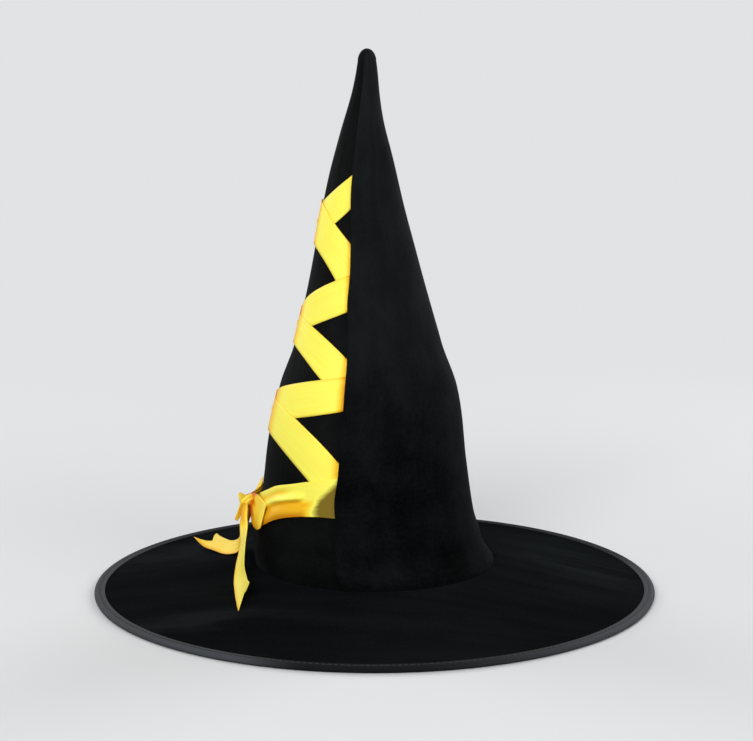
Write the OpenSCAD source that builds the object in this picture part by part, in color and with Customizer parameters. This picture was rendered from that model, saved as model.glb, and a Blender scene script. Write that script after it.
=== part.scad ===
// Pointed costume hat: velvet crown on a wired brim, laced with a satin ribbon that ends in a bow.
// Millimetres, +Z up, z = 0 is the plane under the brim edge, the wearer's front faces -Y.

/* [Overall] */
// Height from the plane under the brim edge to the top of the peak
hat_h = 385; // [330:1:470]
// Diameter of the brim over its bound edge
brim_d = 400; // [345:1:480]

/* [Crown] */
// Diameter of the crown where it meets the brim
crown_base_d = 172; // [150:1:206]
// Outward lean of the crown wall where it meets the brim, sideways per unit of height
foot_flare = 0.4; // [0.2:0.05:0.6]
// Height of the flared foot above the brim
foot_h = 32; // [24:1:44]
// Diameter at the top of the flared foot
foot_d = 155; // [138:0.5:175]
// Height of the shoulder above the brim
shoulder_h = 126; // [105:1:150]
// Diameter of the crown at the shoulder
shoulder_d = 126; // [106:1:150]
// Height above the brim where the straight upper cone starts
cone_h = 158; // [152:1:190]
// Diameter at the start of the upper cone
cone_d = 103; // [86:1:120]
// Diameter half way from there to the neck
cone_mid_d = 61.5; // [52:0.5:72]
// Distance of the neck below the top of the peak
neck_drop = 33; // [26:1:42]
// Diameter at the neck
neck_d = 20; // [18:0.5:26]
// Length of the rounded end of the peak
tip_len = 9; // [6:0.5:12]
// Diameter of the peak below its rounded end
tip_d = 13; // [11:0.5:16]
// Thickness of the velvet panels
velvet_t = 1.2; // [0.8:0.1:1.6]
// Thickness of the stiff interlining
stiffener_t = 0.8; // [0.5:0.1:1.2]
// Thickness of the lining
lining_t = 0.4; // [0.3:0.1:0.8]

/* [Lapped seam] */
// Direction of the hem that laps over the front panel, seen from above
seam_a = 256; // [246:1:264]
// Direction of the seam at the other side of the front panel
side_seam_a = 170; // [164:1:174]
// How far the front panel runs under the hem, as an angle
lap_a = 9; // [7:0.5:11]
// Width of the hem, as an angle
hem_a = 14; // [12:0.5:18]
// Thickness of the folded hem
hem_t = 1.2; // [0.8:0.1:2]

/* [Brim] */
// Height of the top of the brim where the crown stands on it
brim_rise = 21.5; // [16:0.5:32]
// Dish of the brim between crown and edge, 1 is a straight slope
brim_dish = 1.2; // [1:0.05:1.5]
// Width of the level ledge around the foot of the crown
ledge_w = 3; // [2:0.5:6]
// Thickness of the velvet on top of the brim
brim_top_t = 1; // [0.6:0.1:1.6]
// Thickness of the stiff sheet inside the brim
core_t = 1; // [0.6:0.1:2]
// Thickness of the cloth under the brim
under_t = 0.6; // [0.4:0.1:1.2]
// Width of the tape folded over the brim edge
binding_w = 7.5; // [6:0.5:12]
// Thickness of that tape
tape_t = 0.5; // [0.3:0.1:0.8]
// Diameter of the wire hoop in the brim edge
wire_d = 2.2; // [1.6:0.1:2.2]
// Length of the sleeve over the joint of the hoop
ferrule_len = 16; // [10:1:24]
// Wall of that sleeve
ferrule_t = 0.3; // [0.2:0.05:0.35]

/* [Head band] */
// Height of the straight mouth of the head band
mouth_h = 6; // [5:0.5:9]
// Height of the whole head band
band_h = 36; // [28:1:48]
// Thickness of the head band
band_t = 0.7; // [0.5:0.1:1.2]

/* [Ribbon] */
// Width of the satin ribbon
ribbon_w = 27; // [22:0.5:33]
// Thickness of the ribbon
ribbon_t = 0.5; // [0.3:0.05:0.6]
// Distance of the first, upper end of the lacing below the top of the peak
lace_drop = 95; // [85:1:115]
// Height of the last fold of the lacing above the brim
lace_end_h = 70; // [62:1:80]
// How far the ribbon tucks under the hem, as an angle
tuck_a = 4; // [3:0.5:5]
// Direction of the folds at the side of the crown
fold_a = 176; // [174:0.5:180]

/* [Bow] */
// Direction of the knot, seen from above
knot_a = 183; // [180:0.5:188]
// Height of the knot above the brim
knot_h = 47; // [44:0.5:54]
// Diameter of the knot
knot_d = 14; // [12:0.5:17]
// Length of the knot
knot_len = 12; // [11:0.5:14]
// Diameter of the rolled root of each loose end
root_d = 3.6; // [3:0.1:4.2]
// Depth of the V cut in each loose end
notch_w = 9; // [4:0.5:12]

/* [Fits] */
// Clearance between cloth layers
layer_gap = 0.15; // [0.1:0.05:0.25]
// Clearance between ribbon and crown, and between two runs of ribbon
ribbon_gap = 0.3; // [0.25:0.05:0.4]
// Clearance of the rolled roots in the knot
root_gap = 0.35; // [0.3:0.05:0.5]

/* [Hidden] */
$fn = 96;
brim_r = brim_d / 2;
base_r = crown_base_d / 2;
tip_r = tip_d / 2;
seam_z = brim_rise + layer_gap;
neck_z = hat_h - neck_drop;
dome_z = hat_h - tip_len;
stiffener_off = velvet_t + layer_gap;
lining_off = stiffener_off + stiffener_t + layer_gap;
band_off = lining_off + lining_t + layer_gap;
lay_lo = ribbon_gap;
lay_hi = lay_lo + ribbon_t + ribbon_gap;
hem_lift = lay_hi + ribbon_t + ribbon_gap;

function mix(a, b, t) = a + (b - a) * t;
function ease(a, b, t) =
  let (u = min(1, max(0, (t - a) / (b - a))))
  u * u * (3 - 2 * u);
function unit(v) = v / norm(v);
function flip(list) = [for (i = [len(list) - 1 : -1 : 0]) list[i]];

// Crown wall: radius over height, a smooth curve through seven stations.
wall = [
  [seam_z, base_r],
  [seam_z + foot_h, foot_d / 2],
  [seam_z + shoulder_h, shoulder_d / 2],
  [seam_z + cone_h, cone_d / 2],
  [(seam_z + cone_h + neck_z) / 2, cone_mid_d / 2],
  [neck_z, neck_d / 2],
  [dome_z, tip_r]
];
wall_n = len(wall) - 1;
function rise(i) = (wall[i + 1][1] - wall[i][1]) / (wall[i + 1][0] - wall[i][0]);
function lean(i) =
  i == 0 ? -foot_flare :
  i == wall_n ? rise(wall_n - 1) :
  2 * rise(i - 1) * rise(i) / (rise(i - 1) + rise(i));
function wall_span(z, i = 0) = i == wall_n - 1 || z < wall[i + 1][0] ? i : wall_span(z, i + 1);
function curve_at(z, i) =
  let (
    h = wall[i + 1][0] - wall[i][0],
    t = (z - wall[i][0]) / h,
    a = wall[i][1],
    b = wall[i + 1][1]
  )
  a * (1 + 2 * t) * (1 - t) * (1 - t) + b * t * t * (3 - 2 * t)
  + h * t * (1 - t) * (lean(i) * (1 - t) - lean(i + 1) * t);
function crown_r(z) = curve_at(min(max(z, seam_z), dome_z), wall_span(z));

// Outline of one layer of the crown, off = how far it lies inside the velvet's outer face.
// All layers share the same levels, close together in the foot.
foot_top = seam_z + foot_h;
wall_levels = concat(
  [for (i = [0 : 11]) mix(seam_z, foot_top, i / 12)],
  [for (i = [0 : 45]) mix(foot_top, neck_z, i / 45)],
  [for (i = [1 : 3]) mix(neck_z, dome_z, i / 3)]
);
function wall_side(off, top) =
  [for (z = wall_levels) if (z < top + 0.01) [crown_r(z) - off, z]];
function dome_side(off) =
  [for (t = [15 : 15 : 90]) [(tip_r - off) * cos(t), dome_z + (tip_len - off) * sin(t)]];
function closed_side(off) = concat(wall_side(off, dome_z), dome_side(off));

module sector(a, b) {
  rotate([0, 0, a])
    rotate_extrude(angle = b - a)
      children();
}

module velvet_outline() {
  polygon(concat(closed_side(0), flip(closed_side(velvet_t))));
}

// Hem strip with its root sunk into the panel, and the pocket under it for panel and ribbon.
module hem_outline() {
  polygon(concat(wall_side(-hem_lift - hem_t, neck_z), flip(wall_side(velvet_t / 2, neck_z))));
}

module pocket_outline() {
  polygon(concat(
    [[0, seam_z - 1], [base_r + hem_lift, seam_z - 1]],
    wall_side(-hem_lift, neck_z),
    [[crown_r(neck_z) + hem_lift, neck_z + 1], [0, neck_z + 1]]
  ));
}

// Brim: height of its top face over radius, level at the crown and under the binding.
ferrule_d = wire_d + 2 * (ferrule_t + 0.05);
edge_top = tape_t + 3 * layer_gap + under_t + core_t + brim_top_t;
edge_flat_r = brim_r - binding_w - 2;
ledge_r = base_r + ledge_w;
hoop_r = brim_r - tape_t - 0.3 - ferrule_d / 2;
cloth_r = hoop_r - ferrule_d / 2 - layer_gap;
hoop_z = (edge_top + layer_gap + tape_t) / 2;
core_off = brim_top_t + layer_gap;
under_off = core_off + core_t + layer_gap;
band_z0 = brim_rise - under_off - under_t - 0.4;
band_z1 = band_z0 + mouth_h;
band_z2 = band_z0 + band_h;
mouth_r = crown_r(band_z1) - band_off - band_t;
hole_r = mouth_r + band_t + layer_gap;
function brim_z(r) =
  r >= edge_flat_r ? edge_top :
  r <= ledge_r ? brim_rise :
  mix(edge_top, brim_rise, pow((edge_flat_r - r) / (edge_flat_r - ledge_r), brim_dish));
brim_steps = 14;
brim_radii = concat(
  [hole_r],
  [for (i = [0 : brim_steps]) mix(ledge_r, edge_flat_r, i / brim_steps)],
  [cloth_r]
);
function brim_side(off) = [for (r = brim_radii) [r, brim_z(r) - off]];

module brim_layer(off, t) {
  rotate_extrude()
    polygon(concat(brim_side(off), flip(brim_side(off + t))));
}

// Thin cloth solid between two grids of points, one for each face.
module cloth(face, back) {
  n = len(face) - 1;
  m = len(face[0]) - 1;
  w = m + 1;
  half = (n + 1) * w;
  points = concat([for (row = face) for (p = row) p], [for (row = back) for (p = row) p]);
  top = [for (i = [0 : n - 1]) for (j = [0 : m - 1])
    let (a = i * w + j, b = a + 1, c = a + w, d = c + 1)
    each [[a, b, d], [a, d, c]]];
  under = [for (f = top) [half + f[0], half + f[2], half + f[1]]];
  first = [for (j = [0 : m - 1])
    each [[j + 1, j, half + j], [j + 1, half + j, half + j + 1]]];
  last = [for (j = [0 : m - 1])
    let (a = n * w + j)
    each [[a, a + 1, half + a + 1], [a, half + a + 1, half + a]]];
  left = [for (i = [0 : n - 1])
    let (a = i * w, c = a + w)
    each [[a, c, half + c], [a, half + c, half + a]]];
  right = [for (i = [0 : n - 1])
    let (a = i * w + m, c = a + w)
    each [[c, a, half + a], [c, half + a, half + c]]];
  polyhedron(points, concat(top, under, first, last, left, right));
}

// Cloth solid of even thickness around one grid of points.
function grid_normal(g, i, j) =
  let (
    n = len(g) - 1,
    m = len(g[0]) - 1,
    along = g[min(n, i + 1)][j] - g[max(0, i - 1)][j],
    across = g[i][min(m, j + 1)] - g[i][max(0, j - 1)]
  )
  unit(cross(across, along));
function shifted(g, d) =
  [for (i = [0 : len(g) - 1]) [for (j = [0 : len(g[0]) - 1]) g[i][j] + d * grid_normal(g, i, j)]];

module strip(g) {
  cloth(shifted(g, -ribbon_t / 2), shifted(g, ribbon_t / 2));
}

// Smooth curve through chosen points, u runs from 0 to 1.
function through(p, u) =
  let (
    n = len(p) - 1,
    s = min(n - 1, floor(u * n)),
    t = u * n - s,
    a = p[max(0, s - 1)],
    b = p[s],
    c = p[s + 1],
    d = p[min(n, s + 2)]
  )
  b + 0.5 * t * (c - a + t * (2 * a - 5 * b + 4 * c - d + t * (3 * b - a - 3 * c + d)));

// Lacing: folds alternate between the hem and the side of the crown.
lace_folds = 6;
lace_pull = [0, 3, 1.5, -2.5, 0, 5, 0];
lace_top_z = hat_h - lace_drop;
lace_end_z = seam_z + lace_end_h;
function fold_z(i) = mix(lace_top_z, lace_end_z, pow(i / lace_folds, 1.1)) + lace_pull[i];
function fold_dir(i) = i % 2 == 0 ? seam_a + tuck_a : fold_a;
function run_slope(i) =
  let (
    z = (fold_z(i) + fold_z(i + 1)) / 2,
    arc = crown_r(z) * abs(fold_dir(0) - fold_dir(1)) * PI / 180
  )
  atan((fold_z(i) - fold_z(i + 1)) / arc);
function ruling(i) =
  ribbon_w / cos((run_slope(max(0, i - 1)) + run_slope(min(lace_folds - 1, i))) / 2);
function lace_point(a, z, out, along) =
  let (
    r = crown_r(z) + out,
    t = a + along / r * 180 / PI
  )
  [r * cos(t), r * sin(t), z];
run_steps = 12;
across = [0 : 0.2 : 1];
// A run drops evenly as seen from the front, so it levels out towards the side fold.
function run_rows(i, side) =
  [for (k = [0 : run_steps])
    let (
      a = mix(fold_dir(i), fold_dir(i + 1), k / run_steps),
      u = (cos(a) - cos(fold_dir(i))) / (cos(fold_dir(i + 1)) - cos(fold_dir(i))),
      z = mix(fold_z(i), fold_z(i + 1), u),
      h = mix(ruling(i), ruling(i + 1), u) / 2,
      start = i == 0 ? lay_lo : lay_hi,
      up = mix(start, lay_lo, ease(0.5, 0.95, u)),
      down = mix(start, lay_lo, ease(0.05, 0.5, u)),
      face = (i % 2 == 0 ? 1 : -1) * side * ribbon_t / 2 + ribbon_t / 2
    )
    [for (v = across) lace_point(a, z + h * (1 - 2 * v), mix(up, down, v) + face, 0)]];
turn_r = (lay_hi - lay_lo) / 2;
function turn_rows(i, side) =
  [for (b = [45 : 45 : 135])
    let (
      dir = i % 2 == 0 ? 1 : -1,
      h = ruling(i) / 2,
      out = lay_lo + ribbon_t / 2 + turn_r * (1 - cos(b)) - dir * cos(b) * side * ribbon_t / 2,
      along = dir * turn_r * sin(b) + side * sin(b) * ribbon_t / 2
    )
    [for (v = across) lace_point(fold_dir(i), fold_z(i) + h * (1 - 2 * v), out, along)]];
function lace_rows(side) =
  [for (i = [0 : lace_folds - 1]) each concat(run_rows(i, side), turn_rows(i + 1, side))];

// Bow frame: x away from the crown, y along the crown towards the front, z up from the knot.
knot_z = seam_z + knot_h;
knot_r = knot_d / 2;
knot_seat = 0.4;
knot_off = crown_r(knot_z) + knot_seat + knot_r;
function at_knot(p) =
  let (r = knot_off + p[0])
  [r * cos(knot_a) - p[1] * sin(knot_a), r * sin(knot_a) + p[1] * cos(knot_a), knot_z + p[2]];
root_z = -knot_r;
root_front = [4, 3, root_z + 0.7];
root_side = [0.5, -3.2, root_z];
root_side_turn = 24;
root_len = 5.6;

// A point over the brim: away, front, height above the brim at the nominal knot height.
root_height = 39.4;
function over_brim(p) =
  let (
    q = at_knot([p[0], p[1], 0]),
    k = (knot_z + root_z - brim_rise) / root_height
  )
  [q[0], q[1], brim_z(norm([q[0], q[1]])) + p[2] * k];

// Last run: leaves the final fold flat, puffs into two soft pleats and gathers at the knot.
end_a = knot_a + asin((knot_len / 2 + knot_seat) / knot_off);
run_end = [
  [0, 0, ruling(lace_folds)],
  [0.3, -4, 27],
  [0.55, -9, 25],
  [0.85, -20, 22],
  [1, -23.5, 11]
];
function run_end_at(u, c, i = 0) =
  i == len(run_end) - 2 || u <= run_end[i + 1][0]
  ? mix(run_end[i][c], run_end[i + 1][c], ease(run_end[i][0], run_end[i + 1][0], u))
  : run_end_at(u, c, i + 1);
function end_rows() =
  [for (k = [0 : 22])
    let (
      u = k / 22,
      a = mix(seam_a + tuck_a - 0.6, end_a, u),
      gather = ease(0.8, 1, u)
    )
    [for (j = [0 : 10])
      let (
        v = j / 10,
        pleat = (1 - cos(v * 720)) / 2,
        z = fold_z(lace_folds) + run_end_at(u, 1) + run_end_at(u, 2) * (0.5 - v),
        out = lay_hi + ribbon_t / 2 + ease(0.12, 0.75, u) * 2.6 * pleat + gather * 1.6
      )
      lace_point(a, z, out, 0)]];

// Loops: a ribbon that leaves one end of the knot, rounds over and comes back, gathered at both ends.
loop_front_low = [
  [-1, 0, -4], [-2, 5, -10], [-3.5, 12, -14], [0, 17, -14], [3, 12, -13.5], [3, 5, -9], [2.5, 0, -4]
];
loop_front_high = [
  [-1, 0, 4], [-2, 5, 5.5], [-3.5, 12, 6], [0, 17, 5.5], [3, 12, 6], [3, 5, 5.5], [2.5, 0, 4]
];
loop_back_low = [
  [-3, 0, -4], [-3, 6, -5], [-0.5, 13, -7], [7, 16, -10], [12.5, 11, -14], [10.5, 4.5, -11], [2.5, 0, -4]
];
loop_back_high = [
  [-3, 0, 4], [-4.5, 5, 16], [-2, 12, 14], [6.5, 14.5, 9], [12, 10.5, 3], [9.5, 4.5, 4.5], [2.5, 0, 4]
];
// A loop stands off further where the wall under it slopes more than usual.
usual_slope = 0.175;
function stand_off(z) = 2 * max(0, crown_r(knot_z + z) - crown_r(knot_z) + usual_slope * z);
function loop_rows(low, high, dir) =
  [for (k = [0 : 28])
    let (
      a = through(low, k / 28),
      b = through(high, k / 28),
      start = knot_len / 2 + knot_seat
    )
    [for (j = [0 : 4])
      let (p = mix(a, b, j / 4))
      at_knot([p[0] + stand_off(p[2]), dir * (start + p[1]), p[2]])]];

// Loose ends: both edges are chosen by eye, the end has a V cut.
tail_front_low = [
  [11.5, 9, 33.5], [13, 27, 19], [15, 41, 12], [15.5, 53, 8], [15, 67, 4], [13, 85, 1]
];
tail_front_high = [
  [8, 11.5, 33], [8.5, 33, 26], [9, 51, 22], [8, 67.5, 19.5], [5.5, 92.5, 21.5]
];
tail_side_low = [
  [9, -11, 23.5], [15, -19, 7.5], [22.5, -31.5, 5.5], [31, -46, 7], [38.5, -60.5, 9.5], [45, -77, 14]
];
tail_side_high = [
  [6.5, -14, 29.5], [12, -25, 16.5], [18, -41.5, 13], [22.5, -59.5, 12.5], [25.5, -76, 12], [28, -90, 12]
];
tail_len = 105;
function edge_line(root, pts) = concat([root], [for (p = pts) over_brim(p)]);
function ahead(p, u) = through(p, min(1, u + 0.01)) - through(p, max(0, u - 0.01));
function tail_rows(low, high) =
  [for (k = [0 : 26])
    [for (j = [0 : 6])
      let (
        v = j / 6,
        u = k / 26 * (1 - notch_w / tail_len * (1 - abs(2 * v - 1))),
        a = through(low, u),
        b = through(high, u),
        cup = 3 * ease(0.1, 0.4, u) * v * (1 - v)
      )
      mix(a, b, v) + cup * unit(cross(b - a, ahead(low, u)))]];

module root_roll(at, turn) {
  translate(at_knot(at))
    rotate([0, 90, knot_a + turn])
      cylinder(d = root_d, h = root_len, center = true);
}

function root_end(at, turn, s) =
  at_knot(at + s * (root_len / 2 - 0.6) * [cos(turn), sin(turn), 0]);

// Main velvet panel with its turned hem standing over the front panel.
module crown_wrap() {
  color("#17181a")
    union() {
      difference() {
        sector(seam_a, seam_a + hem_a) hem_outline();
        sector(seam_a - 2, seam_a + lap_a + 0.4) pocket_outline();
      }
      sector(seam_a + lap_a + 0.2, side_seam_a + 360) velvet_outline();
    }
}

// Flatter panel under the lacing.
module crown_front_panel() {
  color("#0f1011")
    sector(side_seam_a + 0.4, seam_a + lap_a) velvet_outline();
}

// Stiff interlining that holds the cone up, closed in the peak.
module crown_stiffener() {
  color("#4a4a48")
    rotate_extrude()
      polygon(concat(closed_side(stiffener_off), flip(closed_side(stiffener_off + stiffener_t))));
}

// Inner cloth of the crown, up to the neck.
module crown_lining() {
  color("#1c1c1e")
    rotate_extrude()
      polygon(concat(wall_side(lining_off, neck_z), flip(wall_side(lining_off + lining_t, neck_z))));
}

// Head band: a straight mouth through the brim, then in against the lining.
function band_side(off) =
  concat(
    [[mouth_r + band_t - off, band_z0], [mouth_r + band_t - off, band_z1]],
    [for (z = concat([for (w = wall_levels) if (w > band_z1 + 1 && w < band_z2 - 1) w], [band_z2]))
      [min(mouth_r + band_t, crown_r(z) - band_off) - off, z]]
  );
module sweatband() {
  color("#202124")
    rotate_extrude()
      polygon(concat(band_side(0), flip(band_side(band_t))));
}

// Stitch line near the upper edge of the head band.
module sweatband_thread() {
  z = band_z2 - 4;
  color("#2c2d30")
    rotate_extrude()
      translate([crown_r(z) - band_off - band_t - 0.45, z])
        circle(d = 0.6);
}

module brim_top() {
  color("#141516")
    brim_layer(0, brim_top_t);
}

module brim_core() {
  color("#3c3c3a")
    brim_layer(core_off, core_t);
}

module brim_underside() {
  color("#18191b")
    brim_layer(under_off, under_t);
}

// Hoop in the brim edge, cut once.
module brim_wire() {
  color("#8a8d90")
    sector(90.1, 449.9)
      translate([hoop_r, hoop_z])
        circle(d = wire_d);
}

// Sleeve over the joint of the hoop.
module wire_ferrule() {
  half = ferrule_len / 2 / hoop_r * 180 / PI;
  color("#a9acae")
    sector(90 - half, 90 + half)
      translate([hoop_r, hoop_z])
        difference() {
          circle(d = ferrule_d);
          circle(d = wire_d + 0.1);
        }
}

// Tape folded over the edge, flat below so that the hat can stand on it.
tape_top = edge_top + layer_gap + tape_t;
module edge_binding() {
  in_r = brim_r - binding_w;
  bend = tape_top / 2 - 0.3;
  wall_r = brim_r - tape_t;
  color("#4b4d50")
    rotate_extrude()
      polygon(concat(
        [[in_r, 0]],
        [for (t = [-90 : 15 : 90]) [brim_r - bend + bend * cos(t), tape_top / 2 + (bend + 0.3) * sin(t)]],
        [[in_r, tape_top], [in_r, tape_top - tape_t]],
        [for (t = [75 : -15 : -75])
          [wall_r - bend + bend * cos(t), tape_top / 2 + (tape_top / 2 - tape_t) * sin(t)]],
        [[in_r, tape_t]]
      ));
}

// Stitch line along the middle of the tape.
module binding_thread() {
  color("#35373a")
    rotate_extrude()
      translate([brim_r - binding_w * 0.55, tape_top + 0.4])
        circle(d = 0.6);
}

module lacing_ribbon() {
  color("#f4c912")
    cloth(lace_rows(1), lace_rows(-1));
}

// Thread tacks over the folds at the side of the crown.
module fold_tacks() {
  color("#d8a90c")
    for (i = [1 : 2 : lace_folds - 1])
      let (p = lace_point(fold_dir(i) + 1.5, fold_z(i), lay_hi + ribbon_t + 0.7, 0))
        translate(p)
          rotate([0, 90, fold_dir(i) + 90])
            cylinder(d = 0.8, h = 3.5, center = true);
}

module knot_run() {
  color("#f0c010")
    strip(end_rows());
}

// Wrapped knot with two rounded seats for the loose ends.
module bow_knot() {
  half = knot_len / 2;
  color("#f2c40f")
    difference() {
      translate(at_knot([0, 0, 0]))
        rotate([90, 0, knot_a])
          rotate_extrude()
            polygon(concat(
              [[0, -half]],
              [for (i = [-4 : 4]) [knot_r * (0.72 + 0.28 * cos(i * 22.5)), i * half / 4]],
              [[0, half]]
            ));
      translate(at_knot(root_front))
        rotate([0, 90, knot_a])
          cylinder(d = root_d + 2 * root_gap, h = 2 * knot_d, center = true);
      translate(at_knot(root_side))
        rotate([0, 90, knot_a + root_side_turn])
          cylinder(d = root_d + 2 * root_gap, h = 2 * knot_d, center = true);
    }
}

module bow_loop_front() {
  color("#f7d21a")
    strip(loop_rows(loop_front_low, loop_front_high, 1));
}

module bow_loop_back() {
  color("#f7d21a")
    strip(loop_rows(loop_back_low, loop_back_high, -1));
}

module tail_front() {
  color("#f5cc14")
    union() {
      root_roll(root_front, 0);
      strip(tail_rows(
        edge_line(root_end(root_front, 0, 1), tail_front_low),
        edge_line(root_end(root_front, 0, -1), tail_front_high)
      ));
    }
}

module tail_side() {
  color("#f5cc14")
    union() {
      root_roll(root_side, root_side_turn);
      strip(tail_rows(
        edge_line(root_end(root_side, root_side_turn, 1), tail_side_low),
        edge_line(root_end(root_side, root_side_turn, -1), tail_side_high)
      ));
    }
}

crown_wrap();
crown_front_panel();
crown_stiffener();
crown_lining();
sweatband();
sweatband_thread();
brim_top();
brim_core();
brim_underside();
brim_wire();
wire_ferrule();
edge_binding();
binding_thread();
lacing_ribbon();
fold_tacks();
knot_run();
bow_knot();
bow_loop_front();
bow_loop_back();
tail_front();
tail_side();
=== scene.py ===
import math
import bpy
import bmesh
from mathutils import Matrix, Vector, noise


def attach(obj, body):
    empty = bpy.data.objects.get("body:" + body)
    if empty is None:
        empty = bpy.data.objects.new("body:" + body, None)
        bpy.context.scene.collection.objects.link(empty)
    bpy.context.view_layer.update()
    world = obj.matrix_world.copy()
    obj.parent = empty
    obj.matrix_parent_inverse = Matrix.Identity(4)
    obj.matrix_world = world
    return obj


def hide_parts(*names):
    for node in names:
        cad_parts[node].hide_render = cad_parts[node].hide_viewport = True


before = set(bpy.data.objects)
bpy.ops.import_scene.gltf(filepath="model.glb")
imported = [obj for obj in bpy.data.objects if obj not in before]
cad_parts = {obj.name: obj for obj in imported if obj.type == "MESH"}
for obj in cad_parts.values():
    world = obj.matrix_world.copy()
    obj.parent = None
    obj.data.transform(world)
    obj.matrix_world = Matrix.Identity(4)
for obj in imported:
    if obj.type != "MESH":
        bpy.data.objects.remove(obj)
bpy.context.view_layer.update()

scene = bpy.context.scene
scene.view_settings.view_transform = "Standard"
print("frame loaded:", len(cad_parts), "nodes")


# camera where the photograph was taken from: metres, degrees, millimetres of lens and sensor
photoCamera = {"place": (0.00136, -1.731, 0.493), "tilt": 79.077, "lens": 119.36, "sensor": 36.0}
cameraData = bpy.data.cameras.new("photoCamera")
cameraData.lens = photoCamera["lens"]
cameraData.sensor_width = photoCamera["sensor"]
camera = bpy.data.objects.new("photoCamera", cameraData)
camera.location = photoCamera["place"]
camera.rotation_euler = (math.radians(photoCamera["tilt"]), 0, 0)
scene.collection.objects.link(camera)
scene.camera = camera


# soft studio light: place, aim, size in metres, watts
studioLamps = {
    "keyPanel": ((-0.6, -1.9, 1.35), (0, 0, 0.16), 1.2, 30.0),
    "fillPanel": ((1.4, -1.4, 0.9), (0, 0, 0.18), 1.4, 12.0),
    "rightRim": ((1.1, 1.3, 1.0), (0, 0, 0.15), 1.0, 14.0),
    "leftRim": ((-1.2, 1.1, 0.9), (0, 0, 0.1), 1.0, 10.0),
}
for lampName, (lampPlace, aim, size, watts) in studioLamps.items():
    lampData = bpy.data.lights.new(lampName, "AREA")
    lampData.shape = "DISK"
    lampData.size = size
    lampData.energy = watts
    lamp = bpy.data.objects.new(lampName, lampData)
    lamp.location = lampPlace
    lamp.rotation_euler = (Vector(aim) - Vector(lampPlace)).to_track_quat("-Z", "Y").to_euler()
    scene.collection.objects.link(lamp)

roomLook = {"backdrop": (0.755, 0.765, 0.775, 1), "light": (0.86, 0.88, 0.9, 1), "strength": 0.42}
world = bpy.data.worlds.new("studioRoom")
world.use_nodes = True
worldTree = world.node_tree
roomLight = worldTree.nodes["Background"]
roomLight.inputs["Color"].default_value = roomLook["light"]
roomLight.inputs["Strength"].default_value = roomLook["strength"]
scene.world = world
print("camera and light placed")


def mix(a, b, t):
    return a + (b - a) * t


# smooth step from 0 at a to 1 at b, where b may be the smaller
def ease(a, b, x):
    t = min(1.0, max(0.0, (x - a) / (b - a)))
    return t * t * (3 - 2 * t)


def bump(x, centre, width):
    return math.exp(-((x - centre) / width) ** 2)


# smooth curve through a list of points, u from 0 to 1
def through(points, u):
    n = len(points) - 1
    s = min(n - 1, int(u * n))
    t = u * n - s
    a, b = Vector(points[max(0, s - 1)]), Vector(points[s])
    c, d = Vector(points[s + 1]), Vector(points[min(n, s + 2)])
    return b + 0.5 * t * (c - a + t * (2 * a - 5 * b + 4 * c - d + t * (3 * b - a - 3 * c + d)))


# a socket is linked, any other value is set
def setInputs(tree, node, inputs):
    for key, value in inputs.items():
        if isinstance(value, bpy.types.NodeSocket):
            tree.links.new(value, node.inputs[key])
        else:
            node.inputs[key].default_value = value


def addNode(tree, kind, inputs=None, **settings):
    made = tree.nodes.new(kind)
    for key, value in settings.items():
        setattr(made, key, value)
    setInputs(tree, made, inputs or {})
    return made


def math2(tree, operation, a, b):
    return addNode(tree, "ShaderNodeMath", {0: a, 1: b}, operation=operation).outputs[0]


def plus(tree, a, b):
    return math2(tree, "ADD", a, b)


def times(tree, a, b):
    return math2(tree, "MULTIPLY", a, b)


def scaled(tree, vector, x, y):
    size = addNode(tree, "ShaderNodeCombineXYZ", {0: x, 1: y, 2: 1.0}).outputs[0]
    return addNode(tree, "ShaderNodeVectorMath", {0: vector, 1: size}, operation="MULTIPLY").outputs[0]


def noiseOn(tree, vector, scale, detail, rough=0.5):
    sizes = {"Vector": vector, "Scale": scale, "Detail": detail, "Roughness": rough}
    return addNode(tree, "ShaderNodeTexNoise", sizes).outputs[0]


# shader group on one vector, with named values and named results
def newGroup(name, values, outputs):
    group = bpy.data.node_groups.new(name, "ShaderNodeTree")
    group.interface.new_socket("Vector", in_out="INPUT", socket_type="NodeSocketVector")
    for label, value in values.items():
        socket = group.interface.new_socket(label, in_out="INPUT", socket_type="NodeSocketFloat")
        socket.default_value = value
    for label in outputs:
        group.interface.new_socket(label, in_out="OUTPUT", socket_type="NodeSocketFloat")
    return group, addNode(group, "NodeGroupInput").outputs, addNode(group, "NodeGroupOutput").inputs


# what the camera, gloss and glass see of the room is the plain pale backdrop
def seenDirectly(tree):
    path = addNode(tree, "ShaderNodeLightPath")
    seen = math2(tree, "MAXIMUM", path.outputs["Is Camera Ray"], path.outputs["Is Glossy Ray"])
    return math2(tree, "MAXIMUM", seen, path.outputs["Is Transmission Ray"])


paleView = addNode(worldTree, "ShaderNodeBackground", {"Color": roomLook["backdrop"], "Strength": 1.0})
roomMix = addNode(worldTree, "ShaderNodeMixShader", {
    0: seenDirectly(worldTree), 1: roomLight.outputs[0], 2: paleView.outputs[0]})
worldTree.links.new(roomMix.outputs[0], worldTree.nodes["World Output"].inputs["Surface"])


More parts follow.
